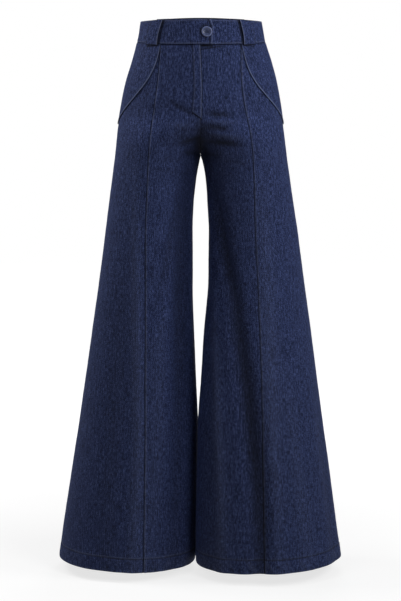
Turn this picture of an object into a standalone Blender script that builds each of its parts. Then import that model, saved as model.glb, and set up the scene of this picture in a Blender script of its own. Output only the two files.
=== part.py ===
"""Wide leg jeans in indigo denim, in the shape they have when worn, empty.

X runs to the right of the front view, the front faces -Y and Z is up. The
origin is the middle of the waistband, at half its height. Every piece of cloth
lies on one form: a stack of horizontal sections, one ring round the body above
the crotch and one ring round each leg below it. A place on that form is given
by a side (-1 left, 1 right), an angle round the ring and a height.
"""

import math

import bmesh
import bpy
from mathutils import Matrix, Vector

# ---- Driving sizes, in metres and radians

MM = 0.001
GAP = 0.3 * MM                 # between two pieces of cloth
SEAM_HALF = 0.18 * MM          # from a seam's line to the edge of either panel
CLOTH = 1.5 * MM               # one layer of denim with its seam allowances
SEAM_ROOM = 0.6 * MM           # between the waistband and what hangs from it
HEM_CLOTH = 2.6 * MM           # the hem is turned up and lies double
HEM_DEPTH = 26 * MM
BAND_CLOTH = 2.4 * MM          # the waistband is folded double
BAND_LIFT = 1.5 * MM           # its outer face over the panels' outer face
OVERLAY_CLOTH = 1.2 * MM       # hip yokes and fly facing
FLY_GAP = 0.4 * MM             # the facing bridges the groove of the centre seam

SEAM_SIDE = -20 * MM           # height of the waist seam at the sides,
SEAM_TILT = 19.5 * MM          # lower at the front and higher at the back
TOP_SIDE = 21 * MM             # height of the upper edge at the sides
TOP_TILT = 16.5 * MM
TOP_BOW = 5.5 * MM

CROTCH_TOP = -165 * MM         # the rise starts to curve under the body here
CROTCH = -250 * MM
HEM_OUTER = {-1: -1054.5 * MM, 1: -1051 * MM}
HEM_DROP = {-1: 10.5 * MM, 1: 8 * MM}   # it hangs lower along the inseam

LEG_TOUCH_TOP = -400 * MM      # below this the legs lean past each other,
LEG_TOUCH_LOW = -800 * MM      # and are full from here down
LEG_MIDDLE = {-1: 8 * MM, 1: -10 * MM}
INSEAM_SHIFT = {-1: 4 * MM, 1: -20 * MM}

YOKE_ANGLE = math.radians(53.4)
YOKE_START = -47 * MM
YOKE_FALL = 140 * MM
YOKE_CURVE = 0.4               # how fast its free edge leaves the princess seam
YOKE_SPREAD = 1.4              # its columns stand closer together there

FLY_LEFT = -17 * MM
FLY_RIGHT = 3.5 * MM
FLY_END_LEFT = -172 * MM
FLY_END_RIGHT = -187 * MM

TAB_END = ((-40 * MM, 22.4 * MM), (-3.5 * MM, 25 * MM), (12 * MM, 18.5 * MM))
TAB_LIFT = BAND_CLOTH + GAP
TAB_RAMP = (-36 * MM, -14 * MM)
UNDERLAP_END = 3 * MM

# Straps over the waistband: x of the foot, x of the top, and front or back.
LOOPS = {
    "belt_loop_front_left": (-94 * MM, -83 * MM, 1),
    "belt_loop_front_right": (94.5 * MM, 86 * MM, 1),
    "belt_loop_back_left": (-80 * MM, -76 * MM, -1),
    "belt_loop_back_center": (0.0, 0.0, -1),
    "belt_loop_back_right": (80 * MM, 76 * MM, -1),
}
LOOP_HALF_WIDTH = 11.7 * MM
LOOP_CLOTH = 1.6 * MM
LOOP_END = 3.0 * MM            # it lies double where it is turned under
LOOP_BELOW = 4 * MM
LOOP_CURVE = 1.6               # how much it leans near its top rather than its foot

BUTTON_PLACE = (12 * MM, -15 * MM)
BUTTON_RADIUS = 10.3 * MM
# The turned outline of the button: shares of its radius, and heights.
BUTTON_OUTLINE = (
    (0.0, 0.0), (0.86, 0.0), (1.0, 0.9 * MM), (1.0, 2.2 * MM), (0.92, 3.0 * MM),
    (0.76, 3.0 * MM), (0.64, 2.0 * MM), (0.0, 1.8 * MM),
)
BUTTON_SIDES = 24
WELD = 0.01 * MM

SMOOTH_ANGLE = math.radians(35)
DENIM_COLOUR = (0.020, 0.029, 0.075)
PLASTIC_COLOUR = (0.075, 0.09, 0.15)

# Half widths and depths of the sections in millimetres, all measured outward
# from the middle: the side seam, the princess seam and the inseam of each leg,
# then how far the front and the back stand from the centre plane.
COLUMNS = ("height", "left_out", "left_seam", "left_in",
           "right_out", "right_seam", "right_in", "front", "back")
SECTIONS = (
    (45, 115.5, 77, 0, 118.0, 77, 0, 96, 92),
    (20, 119.5, 78, 0, 122.0, 78, 0, 98, 94),
    (-20, 126.5, 79, 0, 129.0, 79, 0, 100, 99),
    (-60, 136.5, 80.5, 0, 141.0, 79, 0, 104, 107),
    (-100, 148.5, 83, 0, 151.5, 79.5, 0, 107, 115),
    (-150, 159.0, 89.5, 0, 161.0, 84.5, 0, 110, 122),
    (-200, 167.0, 96, 0, 168.0, 94.5, 0, 110, 126),
    (-250, 172.0, 101, 0, 174.0, 101, 0, 105, 125),
    (-258, 173.0, 101.5, 1.8, 175.0, 101.5, 3.0, 104, 124.5),
    (-300, 178.0, 103.5, 9, 181.0, 103.5, 10.5, 101, 121.5),
    (-350, 184.5, 105.5, 14, 188.0, 105, 14, 100.5, 119),
    (-400, 191.0, 107.5, 16.2, 195.5, 106, 17, 101, 117.5),
    (-500, 204.0, 107.5, 16.2, 208.0, 110.5, 15.5, 104, 117),
    (-600, 217.7, 107.5, 13.7, 222.0, 114, 7, 108, 118),
    (-700, 233.0, 108, 9.3, 234.5, 117, 0.5, 113, 120),
    (-800, 247.0, 108, 5, 247.7, 119, -6, 118, 123),
    (-900, 262.5, 109, 6.5, 261.5, 120.5, -8, 123, 126),
    (-1000, 277.5, 110, 8.3, 274.0, 121.5, -9.8, 128, 129),
    (-1045, 283.6, 110.4, 9, 280.8, 122, -9.6, 130.2, 130.3),
    (-1070, 287.0, 110.6, 12, 284.5, 122.2, -8.3, 131.5, 131),
)

# The largest folds, as soft troughs (negative) and ridges along the legs:
# heights in millimetres, angles round the leg in degrees (0 at the side seam,
# 90 in front, 180 at the inseam, negative at the back), sizes in millimetres.
FOLD_COLUMNS = ("side", "from_height", "to_height", "from_angle", "middle_angle", "to_angle",
                "width", "to_width", "rise")
FOLDS = (
    (1, -360, -1190, 145, 101, 107, 18, 20, -14.0),
    (1, -480, -1190, 154, 132, 134, 14, 17, 4.5),
    (1, -280, -1190, 78, 83, 86, 18, 20, 4.0),
    (1, -180, -540, 160, 143, 130, 24, 18, -7.0),
    (1, -640, -1200, 66, 62, 60, 20, 22, 2.5),
    (1, -700, -1200, 22, 24, 26, 22, 24, -4.0),
    (-1, -450, -1200, 62, 66, 76, 20, 24, -4.0),
    (-1, -250, -1190, 66, 90, 97, 14, 15, 4.0),
    (-1, -200, -800, 150, 148, 144, 30, 26, -8.0),
    (-1, -200, -1190, 138, 134, 134, 16, 20, -4.0),
    (-1, -420, -1200, 112, 110, 108, 20, 22, 2.0),
    (1, -270, -1180, -58, -62, -66, 22, 26, -5.0),
    (1, -420, -1200, -128, -123, -118, 20, 24, -6.0),
    (1, -560, -1200, -20, -24, -30, 20, 22, 3.0),
    (-1, -300, -1200, -66, -63, -60, 22, 26, -6.0),
    (-1, -380, -1200, -120, -124, -128, 20, 24, -5.0),
    (-1, -520, -1200, -26, -30, -28, 20, 22, 3.5),
)
FOLD_FADE = 0.7                # how fast a fold grows from its ends

# Rows of each leg panel: from the waist seam to where the rise curves under,
# through that curve, and down the leg to the hem, where they stand wider apart
# the lower they are.
BODY_ROWS = 8
RISE_ROWS = 9
LEG_ROWS = 16
LEG_SPREAD = 1.5
LEG_SPREAD_SHARE = 0.55
CENTRE_COLUMNS = 12
SIDE_COLUMNS = 8
BACK_COLUMNS = 16


# ---- The form under the cloth

def section(name, height):
    """One column of the sections, read through a smooth curve, in metres."""
    column = COLUMNS.index(name)
    level = height / MM
    low = 0
    while low < len(SECTIONS) - 2 and SECTIONS[low + 1][0] > level:
        low += 1
    start, end = SECTIONS[low], SECTIONS[low + 1]
    span = end[0] - start[0]
    part = (level - start[0]) / span
    square = part * part
    cube = square * part
    value = (
        (2 * cube - 3 * square + 1) * start[column]
        + (cube - 2 * square + part) * slope(column, low) * span
        + (3 * square - 2 * cube) * end[column]
        + (cube - square) * slope(column, low + 1) * span
    )
    return value * MM


def slope(column, place):
    """Slope of a column at a row, level where the column turns back."""
    if place in (0, len(SECTIONS) - 1):
        place = min(max(place, 1), len(SECTIONS) - 2)
    before, here, after = SECTIONS[place - 1:place + 2]
    upper = (here[column] - before[column]) / (here[0] - before[0])
    lower = (after[column] - here[column]) / (after[0] - here[0])
    if upper * lower <= 0:
        return 0.0
    return 2 * upper * lower / (upper + lower)


def ease(value, start, end):
    """0 at start, 1 at end, with soft ends."""
    part = min(1.0, max(0.0, (value - start) / (end - start)))
    return part * part * (3 - 2 * part)


def mix(start, end, share):
    return start + (end - start) * share


def side_section(side, name, height):
    return section(("left_" if side < 0 else "right_") + name, height)


def rise_share(height):
    """0 above the crotch curve, 1 from the crotch down."""
    return ease(height, CROTCH_TOP, CROTCH)


def ring(side, height):
    """Middle and half width of this side's ring."""
    outer = side_section(side, "out", height)
    inner = side_section(side, "in", height) + SEAM_HALF
    share = rise_share(height)
    half = (outer - inner) / (1 + share)
    return inner + half * share, half


def centre_angle(height):
    """Angle of the centre seam, and of the inseam below the crotch."""
    inseam_gap = SEAM_HALF / section("front", height)
    return min(math.acos(-rise_share(height)), math.pi - inseam_gap)


def seam_angle(side, height):
    """Angle of the princess seam."""
    middle, half = ring(side, height)
    return math.acos((side_section(side, "seam", height) - middle) / half)


def bare_form(side, angle, height):
    middle, half = ring(side, height)
    depth = section("front" if angle > 0 else "back", height)
    lean = ease(height, LEG_TOUCH_TOP, LEG_TOUCH_LOW)
    inward = 0.5 - 0.5 * math.cos(angle)
    return Vector((
        side * (middle + half * math.cos(angle)),
        lean * (LEG_MIDDLE[side] + INSEAM_SHIFT[side] * inward) - depth * math.sin(angle),
        height,
    ))


def outward(side, angle, height):
    """Unit vector square to the form."""
    step_angle = 0.004
    step_height = 1.0 * MM
    around = bare_form(side, angle + step_angle, height) - bare_form(side, angle - step_angle, height)
    up = bare_form(side, angle, height + step_height) - bare_form(side, angle, height - step_height)
    return side * up.cross(around).normalized()


def fold_line(first, middle, last, part):
    """Value at part of a curve through its start, its middle and its end."""
    rest = 1 - part
    return (first * rest - last * part) * (rest - part) + 4 * middle * part * rest


def fold_rise(side, angle, height):
    """How far the folds move the cloth out of the form."""
    total = 0.0
    _, half = ring(side, height)
    level = height / MM
    for row in FOLDS:
        fold = dict(zip(FOLD_COLUMNS, row))
        part = (level - fold["from_height"]) / (fold["to_height"] - fold["from_height"])
        if fold["side"] != side or not 0 < part < 1:
            continue
        line = fold_line(fold["from_angle"], fold["middle_angle"], fold["to_angle"], part)
        width = mix(fold["width"], fold["to_width"], part) * MM
        away = (angle - math.radians(line)) * half / width
        total += fold["rise"] * MM * math.exp(-away * away) * math.sin(math.pi * part) ** FOLD_FADE
    return total


def on_form(side, angle, height, lift=0.0):
    """The cloth's outer face, folds included, raised by lift."""
    rise = fold_rise(side, angle, height) + lift
    return bare_form(side, angle, height) + outward(side, angle, height) * rise


def waist_seam(angle):
    return SEAM_SIDE - SEAM_TILT * math.sin(angle)


def waist_top(angle):
    level = math.sin(angle)
    return TOP_SIDE - TOP_TILT * level + TOP_BOW * level * level


def hem_height(side, angle):
    return HEM_OUTER[side] - HEM_DROP[side] * (0.5 - 0.5 * math.cos(angle))


def at_x(across, height, lift=0.0, face=1):
    """A place on the front (face 1) or the back (face -1) above the crotch."""
    side = -1 if across < 0 else 1
    middle, half = ring(side, height)
    angle = math.acos((abs(across) - middle) / half)
    return on_form(side, face * angle, height, lift)


# ---- Making a sheet of cloth

def cloth_sheet(name, columns, rows, place, material):
    """A closed wall of cloth from place(across, down, layer).

    Both shares run from 0 to columns and rows; layer 0 is the outer face and
    layer 1 the inner face.
    """
    mesh = bmesh.new()
    bmesh.ops.create_grid(mesh, x_segments=columns, y_segments=rows, size=0.5)
    result = bmesh.ops.extrude_face_region(mesh, geom=mesh.faces[:])
    inner = [item for item in result["geom"] if isinstance(item, bmesh.types.BMVert)]
    bmesh.ops.translate(mesh, verts=inner, vec=(0, 0, 1))
    for vert in mesh.verts:
        across = (vert.co.x + 0.5) * columns
        down = (vert.co.y + 0.5) * rows
        vert.co = place(across, down, vert.co.z)
    turn_outward(mesh)
    return finish_object(name, mesh, material)


def turn_outward(mesh):
    bmesh.ops.recalc_face_normals(mesh, faces=mesh.faces[:])
    if mesh.calc_volume(signed=True) < 0:
        bmesh.ops.reverse_faces(mesh, faces=mesh.faces[:])


def finish_object(name, mesh, material):
    data = bpy.data.meshes.new(name)
    mesh.to_mesh(data)
    mesh.free()
    data.materials.append(material)
    data.shade_smooth()
    data.set_sharp_from_angle(angle=SMOOTH_ANGLE)
    piece = bpy.data.objects.new(name, data)
    bpy.context.scene.collection.objects.link(piece)
    piece.parent = bpy.data.objects["jeans"]
    return piece


# ---- Leg panels

def row_height(down, top, hem):
    """Height of a row: close together round the crotch, wider down the leg."""
    if down <= BODY_ROWS:
        return mix(top, CROTCH_TOP, down / BODY_ROWS)
    if down <= BODY_ROWS + RISE_ROWS:
        share = (down - BODY_ROWS) / RISE_ROWS
        return mix(CROTCH_TOP, CROTCH, share)
    if down > BODY_ROWS + RISE_ROWS + LEG_ROWS:
        return mix(hem + HEM_DEPTH, hem, down - BODY_ROWS - RISE_ROWS - LEG_ROWS)
    share = (down - BODY_ROWS - RISE_ROWS) / LEG_ROWS
    share = mix(share, share ** LEG_SPREAD, LEG_SPREAD_SHARE)
    return mix(CROTCH, hem + HEM_DEPTH + GAP, share)


def leg_panel(name, side, columns, first_angle, last_angle, material):
    """A panel from the waist seam to the hem between two seams.

    The seams are functions of the height that give an angle. The last row is
    the hem, where the cloth lies double.
    """
    rows = BODY_ROWS + RISE_ROWS + LEG_ROWS + 1

    def place(across, down, layer):
        share = across / columns
        at_top = mix(first_angle(SEAM_SIDE), last_angle(SEAM_SIDE), share)
        low = HEM_OUTER[side] + 2 * HEM_DEPTH
        at_hem = mix(first_angle(low), last_angle(low), share)
        height = row_height(down, waist_seam(at_top) - SEAM_ROOM, hem_height(side, at_hem))
        angle = mix(first_angle(height), last_angle(height), share)
        thickness = HEM_CLOTH if round(down) >= rows - 1 else CLOTH
        return on_form(side, angle, height, -thickness * layer)

    return cloth_sheet(name, columns, rows, place, material)


def seam_room(side, height):
    """Half the gap at a seam, as an angle."""
    return SEAM_HALF / ring(side, height)[1]


def make_leg(side, word, material):
    def princess(trim):
        return lambda height: seam_angle(side, height) + trim * seam_room(side, height)

    def side_seam(trim):
        return lambda height: trim * seam_room(side, height)

    def centre_back(height):
        return -centre_angle(height)

    leg_panel("front_center_" + word, side, CENTRE_COLUMNS, centre_angle, princess(1), material)
    leg_panel("front_side_" + word, side, SIDE_COLUMNS, princess(-1), side_seam(1), material)
    leg_panel("back_" + word, side, BACK_COLUMNS, side_seam(-1), centre_back, material)


# ---- Hip yokes and fly facing, laid on the panels

def make_yoke(side, word, material):
    columns = 16
    rows = 9

    def place(across, down, layer):
        share = across / columns
        inset = seam_room(side, SEAM_SIDE)
        angle = mix(inset, YOKE_ANGLE, 1 - share ** YOKE_SPREAD)
        edge = YOKE_START - YOKE_FALL * share ** (YOKE_SPREAD * YOKE_CURVE)
        height = mix(waist_seam(angle) - SEAM_ROOM, edge, down / rows)
        return on_form(side, angle, height, GAP + OVERLAY_CLOTH * (1 - layer))

    return cloth_sheet("hip_yoke_" + word, columns, rows, place, material)


def make_fly(material):
    columns = 5
    rows = 12

    def place(across, down, layer):
        share = across / columns
        x = mix(FLY_LEFT, FLY_RIGHT, share)
        end = mix(FLY_END_LEFT, FLY_END_RIGHT, share)
        top = waist_seam(math.pi / 2) - SEAM_ROOM
        return at_x(x, mix(top, end, down / rows), FLY_GAP + OVERLAY_CLOTH * (1 - layer))

    return cloth_sheet("fly_facing", columns, rows, place, material)


# ---- Waistband

def tab_end(height):
    """X of the overlapping tab's end, which slants back near its upper corner."""
    for (low, low_x), (high, high_x) in zip(TAB_END, TAB_END[1:]):
        if height <= high:
            return mix(low_x, high_x, max(0.0, (height - low) / (high - low)))
    return TAB_END[-1][1]


def band_point(side, travel, height, lift):
    """A place on the band, with travel running from the back past the front."""
    if travel > math.pi / 2:
        return on_form(-side, math.pi - travel, height, lift)
    return on_form(side, travel, height, lift)


def make_band(side, word, end_x, overlap, material):
    columns = 32
    rows = 4

    def place(across, down, layer):
        share = across / columns
        plain = mix(-math.pi / 2, math.pi / 2, share)
        level = down / rows
        height = mix(waist_seam(plain), waist_top(plain), level)
        reach = math.asin(end_x(height) / ring(-side, height)[1])
        travel = mix(-math.pi / 2, math.pi / 2 + reach, share)
        height = mix(waist_seam(travel), waist_top(travel), level)
        x = ring(side, height)[1] * math.cos(travel) * side
        over = TAB_LIFT * ease(x, *TAB_RAMP) if overlap and travel > 0 else 0.0
        return band_point(side, travel, height, BAND_LIFT + over - BAND_CLOTH * layer)

    return cloth_sheet("waistband_" + word, columns, rows, place, material)


# ---- Belt loops and button

def make_loop(name, material):
    """A flat strap over the band, folded under at both ends."""
    low_x, high_x, face = LOOPS[name]
    columns = 4
    rows = 8
    ends = (0, 1, rows - 1, rows)

    def place(across, down, layer):
        x = mix(low_x, high_x, (down / rows) ** LOOP_CURVE)
        angle = face * math.acos(abs(x) / ring(1, 0.0)[1])
        low = waist_seam(angle) - LOOP_BELOW
        height = mix(low, waist_top(angle) - GAP, down / rows)
        thickness = LOOP_END if round(down) in ends else LOOP_CLOTH
        lift = BAND_LIFT + GAP + LOOP_END - thickness * layer
        return at_x(x + LOOP_HALF_WIDTH * (across / columns * 2 - 1), height, lift, face)

    return cloth_sheet(name, columns, rows, place, material)


def make_button(material):
    """A turned disc with a raised rim, lying on the tab."""
    x, height = BUTTON_PLACE
    mesh = bmesh.new()
    points = [mesh.verts.new((share * BUTTON_RADIUS, 0, level)) for share, level in BUTTON_OUTLINE]
    edges = [mesh.edges.new(pair) for pair in zip(points, points[1:])]
    bmesh.ops.spin(
        mesh, geom=points + edges, cent=(0, 0, 0), axis=(0, 0, 1),
        angle=2 * math.pi, steps=BUTTON_SIDES, use_merge=True, use_duplicate=False,
    )
    bmesh.ops.remove_doubles(mesh, verts=mesh.verts[:], dist=WELD)
    turn_outward(mesh)
    middle, half = ring(1, height)
    angle = math.acos((x - middle) / half)
    seat = on_form(1, angle, height, BAND_LIFT + TAB_LIFT + 2 * GAP)
    facing = outward(1, angle, height)
    turn = Vector((0, 0, 1)).rotation_difference(facing).to_matrix().to_4x4()
    piece = finish_object("button", mesh, material)
    piece.matrix_world = Matrix.Translation(seat) @ turn
    return piece


# ---- Materials

def make_material(name, colour, roughness):
    material = bpy.data.materials.new(name)
    material.use_nodes = True
    shader = material.node_tree.nodes["Principled BSDF"]
    shader.inputs["Base Color"].default_value = (*colour, 1)
    shader.inputs["Roughness"].default_value = roughness
    shader.inputs["Metallic"].default_value = 0.0
    return material


# ---- The whole garment

def make_jeans():
    for item in list(bpy.data.objects):
        bpy.data.objects.remove(item, do_unlink=True)
    root = bpy.data.objects.new("jeans", None)
    bpy.context.scene.collection.objects.link(root)

    denim = make_material("indigo_denim", DENIM_COLOUR, 0.85)
    plastic = make_material("button_plastic", PLASTIC_COLOUR, 0.4)

    for side, word in ((-1, "left"), (1, "right")):
        make_leg(side, word, denim)
        make_yoke(side, word, denim)
    make_fly(denim)
    make_band(-1, "left", tab_end, True, denim)
    make_band(1, "right", lambda height: UNDERLAP_END, False, denim)
    for name in LOOPS:
        make_loop(name, denim)
    make_button(plastic)


make_jeans()
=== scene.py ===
"""Wide leg jeans in dark indigo denim, empty but in the shape they have when worn.

The front faces -Y, +X is to the right of the front view and Z is up, in metres.
"""

import math

import bmesh
import bpy
from mathutils import Matrix, Vector, noise


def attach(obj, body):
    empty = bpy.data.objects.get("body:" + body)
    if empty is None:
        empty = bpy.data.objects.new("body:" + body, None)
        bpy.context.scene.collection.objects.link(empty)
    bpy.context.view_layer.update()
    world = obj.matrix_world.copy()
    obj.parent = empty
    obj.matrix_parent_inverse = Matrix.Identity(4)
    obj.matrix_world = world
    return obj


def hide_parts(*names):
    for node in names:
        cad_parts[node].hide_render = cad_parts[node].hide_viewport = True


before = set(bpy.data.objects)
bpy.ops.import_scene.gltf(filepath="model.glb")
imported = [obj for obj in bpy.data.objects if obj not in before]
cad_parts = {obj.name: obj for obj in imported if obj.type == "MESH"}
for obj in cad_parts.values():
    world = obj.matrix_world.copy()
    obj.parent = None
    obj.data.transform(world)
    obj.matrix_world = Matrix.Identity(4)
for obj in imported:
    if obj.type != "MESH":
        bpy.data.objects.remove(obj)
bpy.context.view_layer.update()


# ---- Leg panels -------------------------------------------------------------
# Each leg is cut in three: a front centre panel, a front side panel that meets
# it at the princess seam, and a back panel. They are heavy indigo twill, sewn
# with the allowances pressed to one side, and turned up twice at the hem.

MM = 0.001
GAP = 0.3 * MM
CLOTH = 1.5 * MM
HEM_CLOTH = 2.6 * MM
HEM_DEPTH = 26 * MM
SEAM_ROOM = 0.6 * MM
TUCK = 3 * MM                  # the panels run up behind the waistband by this
TUCK_DEPTH = 1.3 * MM

SEAM_SIDE = -20 * MM
SEAM_TILT = 19.5 * MM
CROTCH_TOP = -165 * MM
CROTCH = -250 * MM
HEM_OUTER = {-1: -1054.5 * MM, 1: -1051 * MM}
HEM_DROP = {-1: 10.5 * MM, 1: 8 * MM}
LEG_TOUCH_TOP = -400 * MM
LEG_TOUCH_LOW = -800 * MM
LEG_MIDDLE = {-1: 8 * MM, 1: -10 * MM}
INSEAM_SHIFT = {-1: 4 * MM, 1: -20 * MM}

# The body under the cloth, in millimetres outward from the middle: side seam,
# princess seam and inseam of each leg, then the reach of the front and back.
COLUMNS = ("height", "left_out", "left_seam", "left_in",
           "right_out", "right_seam", "right_in", "front", "back")
SECTIONS = (
    (45, 115.5, 77, 0, 118.0, 77, 0, 96, 92),
    (20, 119.5, 78, 0, 122.0, 78, 0, 98, 94),
    (-20, 126.5, 79, 0, 129.0, 79, 0, 100, 99),
    (-60, 136.5, 80.5, 0, 141.0, 79, 0, 104, 107),
    (-100, 148.5, 83, 0, 151.5, 79.5, 0, 107, 115),
    (-150, 159.0, 89.5, 0, 161.0, 84.5, 0, 110, 122),
    (-200, 167.0, 96, 0, 168.0, 94.5, 0, 110, 126),
    (-250, 172.0, 101, 0, 174.0, 101, 0, 105, 125),
    (-258, 173.0, 101.5, 1.8, 175.0, 101.5, 3.0, 104, 124.5),
    (-300, 178.0, 103.5, 9, 181.0, 103.5, 10.5, 101, 121.5),
    (-350, 184.5, 105.5, 14, 188.0, 105, 14, 100.5, 119),
    (-400, 191.0, 107.5, 16.2, 195.5, 106, 17, 101, 117.5),
    (-500, 204.0, 107.5, 16.2, 208.0, 110.5, 15.5, 104, 117),
    (-600, 217.7, 107.5, 13.7, 222.0, 114, 7, 108, 118),
    (-700, 233.0, 108, 9.3, 234.5, 117, 0.5, 113, 120),
    (-800, 247.0, 108, 5, 247.7, 119, -6, 118, 123),
    (-900, 262.5, 109, 6.5, 261.5, 120.5, -8, 123, 126),
    (-1000, 277.5, 110, 8.3, 274.0, 121.5, -9.8, 128, 129),
    (-1045, 283.6, 110.4, 9, 280.8, 122, -9.6, 130.2, 130.3),
    (-1070, 287.0, 110.6, 12, 284.5, 122.2, -8.3, 131.5, 131),
)

# Long soft folds down the legs, in millimetres and degrees: side, from height,
# to height, from angle, middle angle, to angle, width, to width and rise. The
# angles run round the leg from the side seam, 90 in front and -90 behind.
FOLDS = (
    (1, -360, -1190, 145, 101, 107, 17, 20, -15.0),
    (1, -480, -1190, 154, 132, 134, 11, 16, 5.0),
    (1, -280, -1190, 78, 83, 86, 18, 20, 4.0),
    (1, -180, -540, 160, 143, 130, 24, 18, -7.0),
    (1, -640, -1200, 66, 62, 60, 16, 20, 2.5),
    (1, -700, -1200, 22, 24, 26, 22, 24, -4.0),
    (-1, -250, -1190, 66, 90, 97, 9, 12, 5.0),
    (-1, -450, -1200, 62, 66, 76, 20, 24, -4.0),
    (-1, -330, -600, 132, 116, 102, 10, 10, -6.0),
    (-1, -200, -800, 150, 148, 144, 30, 26, -8.0),
    (-1, -200, -1190, 138, 134, 134, 16, 20, -4.0),
    (-1, -420, -1200, 112, 110, 108, 18, 22, 2.0),
    (1, -270, -1180, -58, -62, -66, 22, 26, -5.0),
    (1, -420, -1200, -128, -123, -118, 20, 24, -6.0),
    (1, -560, -1200, -20, -24, -30, 16, 22, 3.0),
    (-1, -300, -1200, -66, -63, -60, 22, 26, -6.0),
    (-1, -380, -1200, -120, -124, -128, 20, 24, -5.0),
    (-1, -520, -1200, -26, -30, -28, 16, 22, 3.5),
)

# Short drag lines where the cloth is pulled, in millimetres: front (1) or back
# (-1), x and height of one end, x and height of the other, width and rise.
CREASES = (
    (1, -60, -152, -14, -178, 5, -2.4),
    (1, -44, -234, -2, -221, 5, -3.6),
    (1, -36, -251, -4, -248, 5, -2.6),
    (1, -78, -264, -30, -263, 5, -1.0),
    (1, -84, -284, -30, -290, 6, -0.8),
    (1, 9, -175, 62, -177, 6, -3.2),
    (1, 9, -201, 58, -205, 6, -3.2),
    (1, 5, -226, 76, -237, 6, -4.0),
    (1, 8, -250, 40, -256, 7, -2.6),
    (1, 40, -266, 98, -276, 7, -0.9),
    (1, -60, -196, -16, -198, 6, 0.9),
    (1, -2, -200, 3, -262, 12, -3.0),
    (1, 12, -189, 70, -191, 6, 1.0),
    (1, 12, -214, 80, -221, 6, 1.0),
    (-1, -70, -196, -10, -204, 7, -1.8),
    (-1, -82, -226, -12, -238, 7, -2.4),
    (-1, 10, -200, 74, -190, 7, -1.9),
    (-1, 12, -236, 88, -224, 7, -2.3),
    (-1, -92, -262, -20, -272, 8, -1.6),
    (-1, 22, -270, 96, -258, 8, -1.5),
    (-1, -128, -560, -60, -575, 9, -1.5),
    (-1, 56, -590, 130, -570, 9, -1.6),
    (-1, -120, -610, -70, -620, 9, -1.2),
)


def slope(column, place):
    """Slope of a column at one of its sections, such that it never overshoots."""
    place = min(max(place, 1), len(SECTIONS) - 2)
    before, here, after = SECTIONS[place - 1:place + 2]
    upper = (here[column] - before[column]) / (here[0] - before[0])
    lower = (after[column] - here[column]) / (after[0] - here[0])
    if upper * lower <= 0:
        return 0.0
    return 2 * upper * lower / (upper + lower)


def section(name, height):
    """One column of the sections, read through a smooth curve, in metres."""
    column = COLUMNS.index(name)
    level = height / MM
    low = 0
    while low < len(SECTIONS) - 2 and SECTIONS[low + 1][0] > level:
        low += 1
    start, end = SECTIONS[low], SECTIONS[low + 1]
    span = end[0] - start[0]
    part = (level - start[0]) / span
    square = part * part
    cube = square * part
    value = (
        (2 * cube - 3 * square + 1) * start[column]
        + (cube - 2 * square + part) * slope(column, low) * span
        + (3 * square - 2 * cube) * end[column]
        + (cube - square) * slope(column, low + 1) * span
    )
    return value * MM


def ease(value, start, end):
    """Zero before the start and one past the end, with a soft step between."""
    part = min(1.0, max(0.0, (value - start) / (end - start)))
    return part * part * (3 - 2 * part)


def mix(start, end, share):
    return start + (end - start) * share


def crowded(even, amount):
    """An even share drawn by this amount towards both ends."""
    return mix(even, 0.5 - 0.5 * math.cos(math.pi * even), amount)


def near(value, place, width):
    """One at a place and falling smoothly to nothing within about a width."""
    return math.exp(-((value - place) / width) ** 2)


def side_section(side, name, height):
    return section(("left_" if side < 0 else "right_") + name, height)


ring_cache = {}


def ring(side, height):
    """Middle, half width and depths of the ring round this side at a height."""
    key = (side, height)
    if key not in ring_cache:
        outer = side_section(side, "out", height)
        inner = side_section(side, "in", height)
        share = ease(height, CROTCH_TOP, CROTCH)
        half = (outer - inner) / (1 + share)
        depths = (section("back", height), section("front", height))
        ring_cache[key] = (inner + half * share, half, depths)
    return ring_cache[key]


def centre_angle(height):
    """Angle of the centre seam, and of the inseam below the crotch."""
    return math.acos(-ease(height, CROTCH_TOP, CROTCH))


def seam_angle(side, height):
    """Angle of the princess seam."""
    middle, half, _ = ring(side, height)
    return math.acos((side_section(side, "seam", height) - middle) / half)


def bare_form(side, angle, height):
    """The smooth form under the folds: an oval round the hip or the leg."""
    middle, half, depths = ring(side, height)
    lean = ease(height, LEG_TOUCH_TOP, LEG_TOUCH_LOW)
    across = math.cos(angle)
    shift = LEG_MIDDLE[side] + INSEAM_SHIFT[side] * (0.5 - 0.5 * across)
    return Vector((
        side * (middle + half * across),
        lean * shift - depths[angle > 0] * math.sin(angle),
        height,
    ))


def outward(side, angle, height):
    """Unit vector square to the form."""
    turn = 0.004
    rise = 1.0 * MM
    around = bare_form(side, angle + turn, height) - bare_form(side, angle - turn, height)
    up = bare_form(side, angle, height + rise) - bare_form(side, angle, height - rise)
    return side * up.cross(around).normalized()


def fold_rise(side, angle, height):
    """How far the long folds move the cloth out of the form."""
    total = 0.0
    level = height / MM
    half = ring(side, height)[1]
    for fold_side, top, low, first, middle, last, width, to_width, rise in FOLDS:
        if fold_side != side or not low < level < top:
            continue
        part = (level - top) / (low - top)
        rest = 1 - part
        line = (first * rest - last * part) * (1 - 2 * part) + 4 * middle * part * rest
        away = (angle - math.radians(line)) * half / (mix(width, to_width, part) * MM)
        total += rise * MM * math.exp(-away * away) * math.sin(math.pi * part) ** 0.7
    return total


def crease_rise(point, face):
    """The short drag lines, fading towards both their ends."""
    total = 0.0
    x, level = point.x / MM, point.z / MM
    for crease_face, x0, z0, x1, z1, width, rise in CREASES:
        if crease_face != face or abs(level - (z0 + z1) / 2) > 40:
            continue
        run = Vector((x1 - x0, z1 - z0))
        share = min(1.0, max(0.0, ((x - x0) * run.x + (level - z0) * run.y) / run.length_squared))
        away = math.hypot(x - x0 - run.x * share, level - z0 - run.y * share) / width
        total += rise * MM * math.exp(-away * away) * math.sin(math.pi * (0.1 + 0.8 * share))
    return total


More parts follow.
